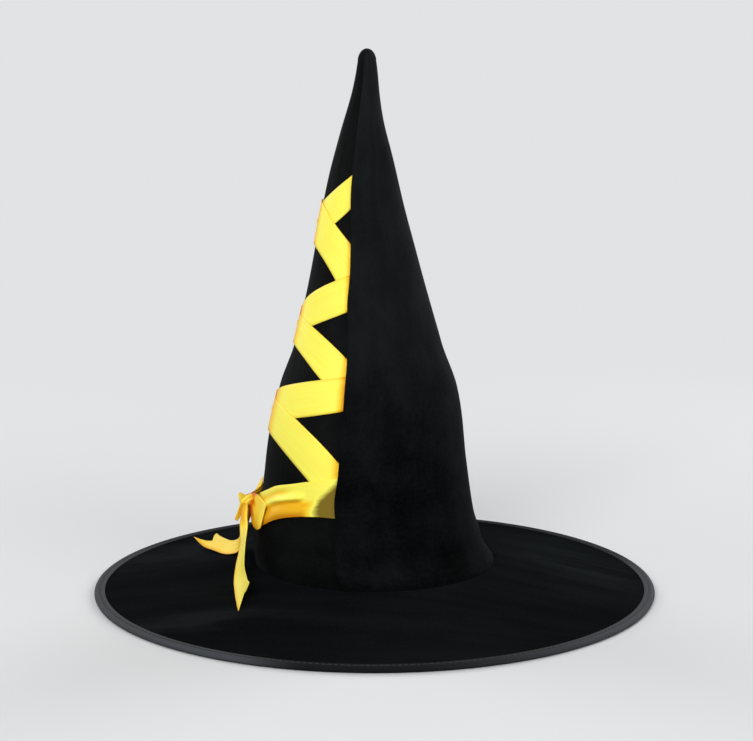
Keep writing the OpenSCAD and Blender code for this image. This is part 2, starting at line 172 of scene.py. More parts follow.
# brushed pile, counts per metre: Nap is the streaky lie of the pile, Fibre its fine grain
pileGroup, given, result = newGroup(
    "velvetPile", {"Streaks": 60.0, "Reach": 9.0, "Patches": 14.0, "Fibres": 380.0}, ["Nap", "Fibre"])
combed = scaled(pileGroup, given["Vector"], given["Streaks"], given["Reach"])
streak = noiseOn(pileGroup, combed, 1.0, 5.0, 0.62)
patch = noiseOn(pileGroup, given["Vector"], given["Patches"], 3.0, 0.55)
lie = plus(pileGroup, times(pileGroup, streak, 0.6), times(pileGroup, patch, 0.4))
napRange = addNode(pileGroup, "ShaderNodeMapRange", {"Value": lie, 1: 0.36, 2: 0.66},
                   interpolation_type="SMOOTHSTEP")
grain = noiseOn(pileGroup, given["Vector"], given["Fibres"], 4.0, 0.72)
pileGroup.links.new(napRange.outputs[0], result["Nap"])
pileGroup.links.new(grain, result["Fibre"])


# woven threads per metre: Height of warp and weft, Tone is the slight change from thread to thread
weaveGroup, given, result = newGroup(
    "wovenThreads", {"Warp": 2200.0, "Weft": 1200.0, "Float": 0.3}, ["Height", "Tone"])
axes = addNode(weaveGroup, "ShaderNodeSeparateXYZ", {0: given["Vector"]}).outputs


def threadWave(axis, count):
    turns = times(weaveGroup, times(weaveGroup, axis, count), 2 * math.pi)
    return addNode(weaveGroup, "ShaderNodeMath", {0: turns}, operation="SINE").outputs[0]


warp = times(weaveGroup, threadWave(axes[0], given["Warp"]), 0.5)
weft = times(weaveGroup, threadWave(axes[1], given["Weft"]), given["Float"])
slub = noiseOn(weaveGroup, scaled(weaveGroup, given["Vector"], 420.0, 26.0), 1.0, 3.0)
weaveGroup.links.new(plus(weaveGroup, plus(weaveGroup, warp, weft), slub), result["Height"])
weaveGroup.links.new(slub, result["Tone"])


def newMaterial(name):
    material = bpy.data.materials.new(name)
    material.use_nodes = True
    tree = material.node_tree
    return material, tree, tree.nodes["Principled BSDF"]


# a group on the piece's own UV map, with its values
def onCloth(tree, group, values):
    place = addNode(tree, "ShaderNodeTexCoord").outputs["UV"]
    return addNode(tree, "ShaderNodeGroup", {"Vector": place, **values}, node_tree=group).outputs


# how a spot of the piece is marked: its own tone, painted shade and shadow, painted sheen and highlight
def markOf(tree):
    return addNode(tree, "ShaderNodeAttribute", attribute_name="tone_and_shade").outputs["Fac"]


def speckle(tree, scale, detail):
    return noiseOn(tree, addNode(tree, "ShaderNodeTexCoord").outputs["Object"], scale, detail)


def blend(tree, factor, dark, light):
    colours = {0: factor, 6: (*dark, 1), 7: (*light, 1)}
    return addNode(tree, "ShaderNodeMix", colours, data_type="RGBA").outputs[2]


def between(tree, factor, low, high):
    return addNode(tree, "ShaderNodeMapRange", {"Value": factor, 3: low, 4: high}).outputs[0]


def relief(tree, height, strength, distance):
    sizes = {"Height": height, "Strength": strength, "Distance": distance}
    return addNode(tree, "ShaderNodeBump", sizes).outputs[0]


# velvet is dark where the pile lies down and light where it is brushed up, its marks add tone, painted shade
# and painted sheen, stroked velvet takes them in streaks
def velvet(name, dark, light, sheen, tint, pileSizes, share, gloss=0.03, stroked=False):
    material, tree, shader = newMaterial(name)
    pile = onCloth(tree, pileGroup, pileSizes)
    pileToneAndShade = markOf(tree)
    if stroked:
        pileToneAndShade = times(tree, pileToneAndShade, times(tree, pile["Nap"], 2.0))
    flecks = times(tree, math2(tree, "SUBTRACT", pile["Fibre"], 0.5), 0.5)
    flecks = plus(tree, flecks, pileToneAndShade)
    nap = plus(tree, times(tree, pile["Nap"], share), 0.5 - 0.5 * share)
    lie = addNode(tree, "ShaderNodeMath", {0: nap, 1: flecks}, operation="ADD", use_clamp=True).outputs[0]
    setInputs(tree, shader, {
        "Base Color": blend(tree, lie, dark, light), "Roughness": between(tree, lie, 0.95, 0.72),
        "Normal": relief(tree, plus(tree, pile["Fibre"], pile["Nap"]), 0.5, 0.0005),
        "Specular IOR Level": gloss, "Sheen Weight": sheen, "Sheen Roughness": 0.4,
        "Sheen Tint": (*tint, 1)})
    return material


def woven(name, dark, light, rough, threadSizes, depth, sheen=0.0, specular=0.3, marked=False):
    material, tree, shader = newMaterial(name)
    weave = onCloth(tree, weaveGroup, threadSizes)
    tone = weave["Tone"]
    if marked:
        tone = times(tree, plus(tree, times(tree, tone, 0.4), 0.7), markOf(tree))
    setInputs(tree, shader, {
        "Base Color": blend(tree, tone, dark, light),
        "Roughness": between(tree, weave["Tone"], rough - 0.08, rough + 0.08),
        "Normal": relief(tree, weave["Height"], 0.5, depth),
        "Specular IOR Level": specular, "Sheen Weight": sheen})
    return material


# the satin's colour follows the mark, which paints its light and shade: marks from -0.2 to 1 run along the
# tones' places from 0 to 1
def satin(name, threadSizes, tones):
    material, tree, shader = newMaterial(name)
    weave = onCloth(tree, weaveGroup, threadSizes)
    tone = plus(tree, markOf(tree), times(tree, weave["Tone"], 0.16))
    along = addNode(tree, "ShaderNodeMapRange", {"Value": tone, 1: -0.2, 2: 1.0})
    paintedShading = addNode(tree, "ShaderNodeValToRGB", {0: along.outputs[0]})
    stops = paintedShading.color_ramp.elements
    for spot in list(tones)[1:-1]:
        stops.new(spot)
    for stop, (spot, colour) in zip(stops, tones.items()):
        stop.position, stop.color = spot, (*colour, 1)
    setInputs(tree, shader, {
        "Base Color": paintedShading.outputs[0], "Roughness": between(tree, weave["Tone"], 0.36, 0.5),
        "Normal": relief(tree, weave["Height"], 0.22, 0.00012),
        "Specular IOR Level": 0.16, "Anisotropic": 0.4})
    return material


def metal(name, colour, rough):
    material, tree, shader = newMaterial(name)
    scratch = speckle(tree, 260.0, 4.0)
    setInputs(tree, shader, {
        "Base Color": blend(tree, scratch, [c * 0.8 for c in colour], colour),
        "Roughness": between(tree, scratch, rough - 0.1, rough + 0.1), "Metallic": 1.0})
    return material


def thread(name, dark, light):
    material, tree, shader = newMaterial(name)
    twist = speckle(tree, 900.0, 2.0)
    setInputs(tree, shader, {
        "Base Color": blend(tree, twist, dark, light), "Roughness": 0.6,
        "Normal": relief(tree, twist, 0.4, 0.0002)})
    return material


crownPile = {"Streaks": 44.0, "Reach": 24.0, "Patches": 30.0}
brimPile = {"Streaks": 38.0, "Reach": 5.0, "Patches": 9.0}
wrapVelvet = velvet("wrapVelvet", (0.0006, 0.0007, 0.00075), (0.0107, 0.0125, 0.0133),
                    0.012, (0.7, 0.92, 1.0), crownPile, 0.28)
panelVelvet = velvet("panelVelvet", (0.0012, 0.0013, 0.0013), (0.0085, 0.009, 0.0092),
                     0.007, (0.8, 0.92, 1.0), crownPile, 0.28)
brimVelvet = velvet("brimVelvet", (0.0005, 0.0006, 0.00065), (0.0094, 0.0106, 0.0116),
                    0.009, (0.72, 0.9, 1.0), brimPile, 0.4, gloss=0.0, stroked=True)
innerFelt = woven("innerFelt", (0.035, 0.034, 0.032), (0.06, 0.058, 0.055), 0.9,
                  {"Warp": 700.0, "Weft": 700.0, "Float": 0.5}, 0.0002)
liningCloth = woven("liningCloth", (0.009, 0.009, 0.01), (0.016, 0.016, 0.018), 0.5,
                    {"Warp": 1500.0, "Weft": 1500.0, "Float": 0.5}, 0.0001, sheen=0.05)
headBand = woven("headBand", (0.01, 0.01, 0.011), (0.02, 0.02, 0.022), 0.62,
                 {"Warp": 320.0, "Weft": 1500.0, "Float": 0.15}, 0.0003, sheen=0.06)
edgeTape = woven("edgeTape", (0.007, 0.0076, 0.0085), (0.062, 0.0665, 0.073), 0.75,
                 {"Warp": 620.0, "Weft": 900.0, "Float": 0.4}, 0.00022, specular=0.05, marked=True)
yellowSatin = satin("yellowSatin", {"Warp": 1700.0, "Weft": 900.0, "Float": 0.12}, {
    0.0: (0.2, 0.135, 0.009),  # in the shade of the hem
    0.2: (1.0, 0.94, 0.12),  # lit face
    0.5: (1.0, 0.6, 0.014),  # painted shade where it turns away
    0.78: (0.72, 0.24, 0.0),  # painted shade where it is folded under
    0.92: (0.78, 0.11, 0.0),  # painted shade where it is pinched
})
darkThread = thread("darkThread", (0.003, 0.0033, 0.0036), (0.007, 0.0074, 0.008))
yellowThread = thread("yellowThread", (0.85, 0.62, 0.03), (1.0, 0.8, 0.07))
hoopSteel = metal("hoopSteel", (0.5, 0.51, 0.53), 0.38)
ferruleMetal = metal("ferruleMetal", (0.6, 0.6, 0.58), 0.3)
print("materials made")


# shapes are worked out in millimetres and degrees, and made in metres
metre = 0.001


def toObject(name, points, faces, uvs, material, shadeAndTone):
    mesh = bpy.data.meshes.new(name)
    mesh.from_pydata([p * metre for p in points], [], faces)
    layer = mesh.uv_layers.new(name="UVMap")
    layer.data.foreach_set("uv", [c for face in uvs for uv in face for c in uv])
    if shadeAndTone is not None:
        mesh.attributes.new("tone_and_shade", "FLOAT", "POINT").data.foreach_set("value", shadeAndTone)
    work = bmesh.new()
    work.from_mesh(mesh)
    bmesh.ops.remove_doubles(work, verts=work.verts, dist=1e-6)
    if work.calc_volume(signed=True) < 0:
        bmesh.ops.reverse_faces(work, faces=work.faces)
    work.to_mesh(mesh)
    work.free()
    mesh.polygons.foreach_set("use_smooth", [True] * len(mesh.polygons))
    mesh.materials.append(material)
    made = bpy.data.objects.new(name, mesh)
    scene.collection.objects.link(made)
    return made


# closed cloth shell between an outer and an inner grid of points, wrap joins the last column to the first
def clothShell(name, outer, inner, uvAt, material, wrap=False, shadeAndTone=None):
    rows, cols = len(outer), len(outer[0])
    points = [p for row in outer for p in row] + [p for row in inner for p in row]
    half = rows * cols
    faces, uvs = [], []

    def spot(i, j, side):
        return side * half + i * cols + j % cols

    def add(*corners):
        faces.append([spot(*c) for c in corners])
        uvs.append([uvAt(c[0], c[1]) for c in corners])

    spans = cols if wrap else cols - 1
    for i in range(rows - 1):
        for j in range(spans):
            add((i, j, 0), (i, j + 1, 0), (i + 1, j + 1, 0), (i + 1, j, 0))
            add((i, j, 1), (i + 1, j, 1), (i + 1, j + 1, 1), (i, j + 1, 1))
        if not wrap:
            add((i, 0, 1), (i, 0, 0), (i + 1, 0, 0), (i + 1, 0, 1))
            add((i, cols - 1, 0), (i, cols - 1, 1), (i + 1, cols - 1, 1), (i + 1, cols - 1, 0))
    for j in range(spans):
        add((0, j + 1, 0), (0, j, 0), (0, j, 1), (0, j + 1, 1))
        add((rows - 1, j, 0), (rows - 1, j + 1, 0), (rows - 1, j + 1, 1), (rows - 1, j, 1))
    values = shadeAndTone and [c for row in shadeAndTone for c in row] * 2
    return toObject(name, points, faces, uvs, material, values)


# closed ring of cloth from levels: pointAt gives its outer face 0 and its inner face 1
def ringShell(name, levels, step, pointAt, uvAt, material, markAt=None):
    turns = [step * k for k in range(round(360 / step))]
    outer, inner = ([[pointAt(level, a, side) for a in turns] for level in levels] for side in (0, 1))
    marks = markAt and [[markAt(level, a) for a in turns] for level in levels]
    return clothShell(name, outer, inner, lambda i, j: uvAt(levels[i], step * j), material, True, marks)


# rows of a ribbon's spots, each a middle point and its mark, by u along and v across from 0 to 1
def spotRows(along, across, spotAt):
    return [[spotAt(i / along, j / across) for j in range(across + 1)] for i in range(along + 1)]


ribbonThick = 0.42
halfThick = ribbonThick / 2


# ribbon of even thickness around its spots
def ribbonStrip(name, spots):
    grid = [[point for point, mark in row] for row in spots]
    marks = [[mark for point, mark in row] for row in spots]
    rows, cols = len(grid), len(grid[0])
    face, back = [], []
    for i in range(rows):
        faceRow, backRow = [], []
        for j in range(cols):
            along = grid[min(rows - 1, i + 1)][j] - grid[max(0, i - 1)][j]
            across = grid[i][min(cols - 1, j + 1)] - grid[i][max(0, j - 1)]
            normal = along.cross(across).normalized()
            edge = ribbonThick * (0.62 if j in (0, cols - 1) else 0.5)  # selvedge is a little thicker
            faceRow.append(grid[i][j] + normal * edge)
            backRow.append(grid[i][j] - normal * edge)
        face.append(faceRow)
        back.append(backRow)
    reach = [[0.0] * cols for row in grid]
    side = [[0.0] * cols for row in grid]
    for i in range(rows):
        for j in range(cols):
            if i:
                reach[i][j] = reach[i - 1][j] + (grid[i][j] - grid[i - 1][j]).length
            if j:
                side[i][j] = side[i][j - 1] + (grid[i][j] - grid[i][j - 1]).length

    def uvAt(i, j):
        return side[i][j] * metre, reach[i][j] * metre

    return clothShell(name, face, back, uvAt, yellowSatin, shadeAndTone=marks)


def fit(piece, node, slot, body="hat"):
    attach(piece, body)
    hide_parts(node)
    return piece


# cloth that is cut to shape
def fitCut(piece, node, slot, held, below):
    fit(piece, node, slot)


# point on a circle round the hat's axis
def around(angle, r, z, shift=0.0):
    a = math.radians(angle)
    return Vector((r * math.cos(a) + shift, r * math.sin(a), z))


# crown: swells and pinches are a depth, a height and how tall they are
crownShape = {
    "wall": ((21.65, 86.0), (53.65, 77.5), (147.65, 63.0), (179.65, 51.5), (265.825, 30.75),
             (352.0, 10.0), (376.0, 6.5)),  # height and radius
    "footSlope": -0.4, "tipRise": 9.0,
    "footSteps": (0.0, 0.25, 0.75, 1.45, 2.35, 3.55, 5.35, 7.85),  # levels are close together at the seam
    "stiffener": (1.35, 2.15), "lining": (2.3, 2.7), "liningTop": 352,
    # shift sideways, minus is towards the bow, from height to height
    "lean": ((-6.0, 21.65, 37.0), (1.6, 95.0, 150.0), (-3.4, 150.0, 300.0), (2.6, 325.0, 375.0)),
    "hollows": 0.9, "hollowTall": 48,
    "footPinch": (1.3, 40.0, 6.0), "pinchAngle": 295,
    "flank": (3.2, 40.0, 9.0), "flankAngle": -8,
    "fullness": (1.3, 308.0, 28.0),
    "uvRadius": 0.07,
}
wall = crownShape["wall"]
foot = wall[0][0]
tipHeight, tipRadius = wall[-1]
wallRise = [(b[1] - a[1]) / (b[0] - a[0]) for a, b in zip(wall, wall[1:])]
wallSlope = ([crownShape["footSlope"]]
             + [2 * a * b / (a + b) for a, b in zip(wallRise, wallRise[1:])] + [wallRise[-1]])


def crownRadius(z):
    z = min(max(z, foot), tipHeight)
    i = max(k for k in range(len(wall) - 1) if z >= wall[k][0])
    h = wall[i + 1][0] - wall[i][0]
    t = (z - wall[i][0]) / h
    return (wall[i][1] * (1 + 2 * t) * (1 - t) ** 2 + wall[i + 1][1] * t * t * (3 - 2 * t)
            + h * t * (1 - t) * (wallSlope[i] * (1 - t) - wallSlope[i + 1] * t))


def lean(z):
    return sum(shift * ease(low, high, z) for shift, low, high in crownShape["lean"])


def swell(size, z):
    depth, height, tall = size
    return depth * bump(z, height, tall)


# soft hollows all over, a pinch above the foot, fuller at the right of the foot and below the tip
def dent(angle, z):
    a = math.radians(angle)
    fade = ease(26, 70, z) * (1 - ease(300, 352, z))
    spot = Vector((1.5 * math.cos(a), 1.5 * math.sin(a), z / crownShape["hollowTall"]))
    front = 1 + 0.9 * math.cos(a - math.radians(crownShape["pinchAngle"]))
    right = ease(0.35, 1.0, math.cos(a - math.radians(crownShape["flankAngle"])))
    low = right * swell(crownShape["flank"], z) - front * swell(crownShape["footPinch"], z)
    soft = crownShape["hollows"] * fade * noise.noise(spot) + swell(crownShape["fullness"], z)
    return soft + low * ease(24, 32, z)


def crownAt(angle, z, out):
    return around(angle, crownRadius(z) + dent(angle, z) + out, z, lean(z))


# levels of the crown: radius, height, outward direction, how far over the tip
wallLevels = [foot + step for step in crownShape["footSteps"]]
wallLevels += [32 + 3.2 * k for k in range(100)] + [352 + 2 * k for k in range(13)]
profile = []
for z in wallLevels:
    slope = (crownRadius(z + 0.2) - crownRadius(z - 0.2)) / 0.4
    size = math.hypot(1, slope)
    profile.append((crownRadius(z), z, 1 / size, -slope / size, 0.0))
for step in range(1, 10):
    t = math.radians(step * 10)
    rise = crownShape["tipRise"]
    n = Vector((math.cos(t) / tipRadius, math.sin(t) / rise)).normalized()
    profile.append((tipRadius * math.cos(t), tipHeight + rise * math.sin(t), n.x, n.y, step / 9))


def levelPoint(level, angle, out):
    radius, z, sideways, upwards = level[:4]
    tuck = -0.8 * (1 - ease(foot, 24.6, z))  # cloth is drawn in at the seam with the brim
    r = radius + dent(angle, z) + (out + tuck) * sideways
    return around(angle, r, z + out * upwards * ease(foot, 40, z), lean(z))


def crownUv(level, angle):
    return math.radians(angle) * crownShape["uvRadius"], level[1] * metre


# velvet panels: hem and seam are degrees from the edge and millimetres off the velvet
panelShape = {
    "hemAngle": 255.2, "sideSeam": 170.0, "panelEnd": 265.0, "seamGap": 0.4, "thick": 1.2,
    "hemOver": ((0.0, 2.4), (0.08, 2.8), (0.35, 3.08), (0.9, 3.15), (2.2, 3.1), (4.0, 2.85), (6.0, 2.3),
                (8.0, 1.6), (10.0, 0.95), (12.0, 0.45), (14.5, 0.15), (17.5, 0.0)),
    "hemUnder": ((0.05, 2.1), (0.15, 1.85), (0.4, 1.7), (0.9, 1.65), (2.2, 1.63), (4.0, 1.58), (6.5, 1.4),
                 (8.6, 1.0), (9.7, 0.3), (10.3, -0.7), (12.5, -1.2), (17.5, -1.2)),
    "seam": ((-4.0, 0.0, -1.2), (-1.5, -0.08, -1.2), (-0.4, -0.4, -1.15), (0.0, -0.85, -1.05)),
    # degrees that the hem is pulled aside, at what height and how tall
    "hemSlack": ((2.2, 288.0, 18.0), (2.0, 213.0, 14.0), (1.8, 80.0, 14.0)),
    "wrapSteps": 106, "panelSteps": 40,
}
hemOver, hemUnder, seam = panelShape["hemOver"], panelShape["hemUnder"], panelShape["seam"]
hemAngle = panelShape["hemAngle"]
wrapEnd = panelShape["sideSeam"] + 360
wrapSteps = panelShape["wrapSteps"]
plain = [mix(hemAngle + 18.5, wrapEnd - 4.0, k / wrapSteps) for k in range(1, wrapSteps)]


def hemLine(z):
    return hemAngle - sum(swell(slack, z) for slack in panelShape["hemSlack"])


# the hem is thinner towards the tip
def hemFade(level):
    return mix(1.0, 0.45, ease(310, 352, level[1])) * (1 - 0.9 * level[4])


# paler in the upper half and towards the tip, darker below, with a painted highlight on the foot's flare
# beside the hem and painted shade low on the right side
def wrapToneAndShade(z, angle):
    paleFoot = 0.16 * bump(z, 31, 6) * bump(angle, 272, 24)
    shade = 0.16 * ease(70, 35, z) * bump(angle, 350, 45)
    return -0.31 + 0.37 * ease(85, 225, z) + 0.22 * ease(310, 350, z) + paleFoot - shade


wrapAngles = [hemAngle + a for a, out in hemOver] + plain + [wrapEnd + a for a, over, under in seam]
wrapOuter, wrapInner = [], []
for level in profile:
    lift, edge = hemFade(level), hemLine(level[1])
    wrapOuter.append([levelPoint(level, edge + a, out * lift) for a, out in hemOver]
                     + [levelPoint(level, a, 0.0) for a in plain]
                     + [levelPoint(level, wrapEnd + a, over) for a, over, under in seam])
    wrapInner.append([levelPoint(level, edge + a, out * lift if out > 0 else out) for a, out in hemUnder]
                     + [levelPoint(level, a, -panelShape["thick"]) for a in plain]
                     + [levelPoint(level, wrapEnd + a, under) for a, over, under in seam])
# the wrap's tone at each point, with the painted highlight on the foot and the painted shade low on the
# right
pileToneAndShade = [[wrapToneAndShade(level[1], a) for a in wrapAngles] for level in profile]
crownWrap = clothShell("crownWrap", wrapOuter, wrapInner, lambda i, j: crownUv(profile[i], wrapAngles[j]),
                       wrapVelvet, shadeAndTone=pileToneAndShade)
fitCut(crownWrap, "crown_wrap", "velvet", "stretched", "crownStiffener")

panelStart = panelShape["sideSeam"] + panelShape["seamGap"]
panelSteps = panelShape["panelSteps"]
panelSpan = [(panelStart - a, over, under) for a, over, under in reversed(seam)]
panelSpan += [(mix(panelStart + 4, panelShape["panelEnd"], k / panelSteps), 0.0, -panelShape["thick"])
              for k in range(1, panelSteps + 1)]
panelAngles = [a for a, over, under in panelSpan]
panelOuter = [[levelPoint(level, a, over) for a, over, under in panelSpan] for level in profile]
panelInner = [[levelPoint(level, a, under) for a, over, under in panelSpan] for level in profile]
# paler above, darker towards the bottom
panelDarkerBelow = [[-0.22 + 0.27 * ease(60, 170, level[1])] * len(panelSpan) for level in profile]
crownFrontPanel = clothShell("crownFrontPanel", panelOuter, panelInner,
                             lambda i, j: crownUv(profile[i], panelAngles[j]), panelVelvet,
                             shadeAndTone=panelDarkerBelow)
fitCut(crownFrontPanel, "crown_front_panel", "velvet", "stretched", "crownStiffener")


def crownLayer(name, faces, top, material):
    levels = [level for level in profile[::2] + [profile[-1]] if level[1] <= top]

    def pointAt(level, angle, side):
        return levelPoint(level, angle, -faces[side])

    return ringShell(name, levels, 3.75, pointAt, crownUv, material)


crownStiffener = crownLayer("crownStiffener", crownShape["stiffener"], profile[-1][1], innerFelt)
fitCut(crownStiffener, "crown_stiffener", "interlining", "stretched", "brimTop")
crownLining = crownLayer("crownLining", crownShape["lining"], crownShape["liningTop"], liningCloth)
fitCut(crownLining, "crown_lining", "lining", "stretched", "crownStiffener")
print("crown made")


bandShape = {"mouth": 81.47, "thick": 0.7, "low": 18.2, "turn": 24.2, "high": 54.2, "off": 2.85,
             "rounding": 0.25, "uvRadius": 0.08}
bandLevels = [bandShape["low"] + step for step in (0.0, 0.3, 1.0, 2.8, 4.4)]
bandLevels += [bandShape["turn"] + 1.5 * k for k in range(20)]
bandLevels += [bandShape["high"] - 0.4, bandShape["high"]]


def bandPoint(angle, z, depth):
    outerFace = min(bandShape["mouth"] + bandShape["thick"], crownRadius(z) - bandShape["off"])
    ends = min(z - bandShape["low"], bandShape["high"] - z)
    way = 1 if depth < bandShape["thick"] / 2 else -1
    soft = bandShape["rounding"] * (1 - ease(0, 0.8, ends)) * way
    return around(angle, outerFace + dent(angle, z) - depth - soft, z, lean(z))


def bandFace(z, angle, side):
    return bandPoint(angle, z, side * bandShape["thick"])


def bandUv(z, angle):
    return math.radians(angle) * bandShape["uvRadius"], z * metre


headRing = ringShell("headRing", bandLevels, 2.5, bandFace, bandUv, headBand)
fit(headRing, "sweatband", "head_band")
print("head band made")


brimShape = {
    "edgeTop": 3.55, "rise": 21.5, "flat": 190.5, "ledge": 89.0, "dish": 1.2, "wave": 0.6,
    "holeRings": (82.32, 83.5, 86.0, 88.0), "edgeRings": (193.0, 196.15), "rings": 38,
    "top": (0.0, 1.0), "core": (1.15, 2.15), "under": (2.3, 2.9),
    "askew": 8,  # degrees that the pile lies off the straight line across the brim
    "lie": -0.05,
    # painted sheen in pale streaks where the pile catches the light: how pale, place in plan, half length
    # and half width
    "sheenStrokes": ((0.8, -145, 64, 55, 28), (1.15, -122, -112, 46, 12), (0.3, 145, 20, 60, 60)),
}


def brimHeight(r):
    if r >= brimShape["flat"]:
        return brimShape["edgeTop"]
    if r <= brimShape["ledge"]:
        return brimShape["rise"]
    t = (brimShape["flat"] - r) / (brimShape["flat"] - brimShape["ledge"])
    return mix(brimShape["edgeTop"], brimShape["rise"], t ** brimShape["dish"])


def brimWave(angle, r):
    a = math.radians(angle)
    fade = ease(92, 125, r) * (1 - ease(160, 191, r))
    slow = math.sin(2 * a + 0.7) + 0.7 * math.sin(3 * a + 2.4) + 0.45 * math.sin(5 * a + 0.3)
    return brimShape["wave"] * fade * slow


def brimAt(angle, r, off):
    return around(angle, r, brimHeight(r) + brimWave(angle, r) - off)


def brimUv(r, angle):
    a = math.radians(angle + brimShape["askew"])
    return r * metre * math.sin(a), r * metre * math.cos(a)


# painted sheen: pale streaks over the pile, on a base a little darker
def brimSheen(r, angle):
    p = around(angle, r, 0)
    sheenStrokes = (pale * bump(p.x, x, long) * bump(p.y, y, wide)
               for pale, x, y, long, wide in brimShape["sheenStrokes"])
    return brimShape["lie"] + sum(sheenStrokes)


ringCount = brimShape["rings"]
dished = [mix(brimShape["ledge"], brimShape["flat"], k / ringCount) for k in range(ringCount + 1)]
brimRings = [*brimShape["holeRings"], *dished, *brimShape["edgeRings"]]


def brimLayer(name, faces, material):
    def pointAt(r, angle, side):
        return brimAt(angle, r, faces[side])

    return ringShell(name, brimRings, 1.875, pointAt, brimUv, material, brimSheen)


for name, faces, cloth, node, slot, held, below in (
        ("brimTop", "top", brimVelvet, "brim_top", "velvet", "stretched", "brimCore"),
        ("brimCore", "core", innerFelt, "brim_core", "interlining", "laid", "brimUnderside"),
        ("brimUnderside", "under", liningCloth, "brim_underside", "lining", "stretched", "edgeBinding")):
    fitCut(brimLayer(name, brimShape[faces], cloth), node, slot, held, below)
for node, finish in (("brim_wire", hoopSteel), ("wire_ferrule", ferruleMetal)):
    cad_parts[node].data.materials.clear()
    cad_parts[node].data.materials.append(finish)
print("brim made")


# tape folded over the wire, with a round bead at the outer edge
tapeShape = {
    "edge": 200.0, "width": 7.5, "top": 4.2, "thick": 0.5, "bead": 198.0,
    "ridges": (194.2, 197.6), "groove": 195.9, "front": 266,
}
tapeIn = tapeShape["edge"] - tapeShape["width"]
bead = tapeShape["bead"]
beadWide = tapeShape["edge"] - bead
beadTall = tapeShape["top"] / 2


def tapeTop(r):
    raised = 0.32 * sum(bump(r, ridge, 1.1) for ridge in tapeShape["ridges"])
    return tapeShape["top"] - 0.12 + raised - 0.1 * bump(r, tapeShape["groove"], 0.5)


# painted sheen pale at both sides, painted shade at the front, at the back, in the sewn groove and under the
# outer edge
def tapeSheenAndShade(row, angle):
    r, z = row[0]
    spread = 26 if angle < tapeShape["front"] else 65
    front = ease(8, spread, abs(angle - tapeShape["front"]))
    back = ease(8, 24, angle) * ease(168, 128, angle)
    groove = 0.55 * bump(r, tapeShape["groove"], 0.6) * ease(2.0, 3.0, z)
    under = 0.4 * ease(1.9, 0.5, z) * ease(196.5, 198.5, r)
    return front * (1 - 0.75 * back) * (1 - groove - under)


def tapeInside(r, z):
    thick = tapeShape["thick"]
    if r >= bead:
        inward = Vector((bead - r, beadTall - z)).normalized() * thick
    else:
        inward = Vector((0.0, -thick if z > beadTall else thick))
    return r + inward.x, z + inward.y


tapeOver = [(tapeIn, 3.75), (tapeIn + 0.02, 3.98)]
tapeOver += [(r, tapeTop(r)) for r in (tapeIn + 0.25 + 0.35 * k for k in range(16))]
tapeOver += [(bead + beadWide * math.cos(t), beadTall + beadTall * math.sin(t))
             for t in map(math.radians, range(75, -76, -15))]
tapeOver += [(197.5 - 0.7 * k, 0.0) for k in range(7)] + [(tapeIn + 0.02, 0.15), (tapeIn, 0.42)]
tapeReach = [0.0]
for a, b in zip(tapeOver, tapeOver[1:]):
    tapeReach.append(tapeReach[-1] + math.dist(a, b) * metre)
tapeRows = [(over, tapeInside(*over), reach) for over, reach in zip(tapeOver, tapeReach)]


def tapePoint(row, angle, side):
    return around(angle, *row[side])


def tapeUv(row, angle):
    return row[2], math.radians(angle) * tapeShape["edge"] * metre


edgeBinding = ringShell("edgeBinding", tapeRows, 1.5, tapePoint, tapeUv, edgeTape, tapeSheenAndShade)
fit(edgeBinding, "edge_binding", "tape")
print("edge tape made")


# stitches round a ring, or on spots that each have a heading
def stitchTree(name, ring):
    tree = bpy.data.node_groups.new(name, "GeometryNodeTree")
    kinds = {"Geometry": "Geometry", "Radius": "Float", "Height": "Float", "Length": "Float",
             "Thread": "Float", "Count": "Int", "Seed": "Int", "Material": "Material"}
    for label, kind in kinds.items():
        tree.interface.new_socket(label, in_out="INPUT", socket_type="NodeSocket" + kind)
    tree.interface.new_socket("Geometry", in_out="OUTPUT", socket_type="NodeSocketGeometry")
    sizes = addNode(tree, "NodeGroupInput").outputs
    sewing = addNode(tree, "NodeGroupOutput").inputs
    if ring:
        circle = addNode(tree, "GeometryNodeCurvePrimitiveCircle", {
            "Resolution": sizes["Count"], "Radius": sizes["Radius"]})
        level = addNode(tree, "ShaderNodeCombineXYZ", {2: sizes["Height"]})
        raised = addNode(tree, "GeometryNodeTransform", {
            "Geometry": circle.outputs[0], "Translation": level.outputs[0]})
        spots = raised.outputs[0]
        heading = addNode(tree, "GeometryNodeInputTangent").outputs[0]
    else:
        spots = sizes["Geometry"]
        heading = addNode(tree, "GeometryNodeInputNamedAttribute", {"Name": "heading"},
                          data_type="FLOAT_VECTOR").outputs[0]
    ball = addNode(tree, "GeometryNodeMeshUVSphere", {"Segments": 8, "Rings": 6, "Radius": 0.5})
    flatThread = times(tree, sizes["Thread"], 0.8)
    shape = addNode(tree, "ShaderNodeCombineXYZ", {0: sizes["Length"], 1: sizes["Thread"], 2: flatThread})
    stitch = addNode(tree, "GeometryNodeTransform", {"Geometry": ball.outputs[0], "Scale": shape.outputs[0]})
    turned = addNode(tree, "FunctionNodeAlignRotationToVector", {"Vector": heading}, axis="X")
    jitter = addNode(tree, "FunctionNodeRandomValue", {
        0: (0.9, 0.94, 0.94), 1: (1.06, 1.06, 1.06), "Seed": sizes["Seed"]}, data_type="FLOAT_VECTOR")
    placed = addNode(tree, "GeometryNodeInstanceOnPoints", {
        "Points": spots, "Instance": stitch.outputs[0], "Rotation": turned.outputs[0],
        "Scale": jitter.outputs[0]})
    solid = addNode(tree, "GeometryNodeRealizeInstances", {0: placed.outputs[0]})
    done = addNode(tree, "GeometryNodeSetMaterial", {
        "Geometry": solid.outputs[0], "Material": sizes["Material"]})
    tree.links.new(done.outputs[0], sewing[0])
    return tree


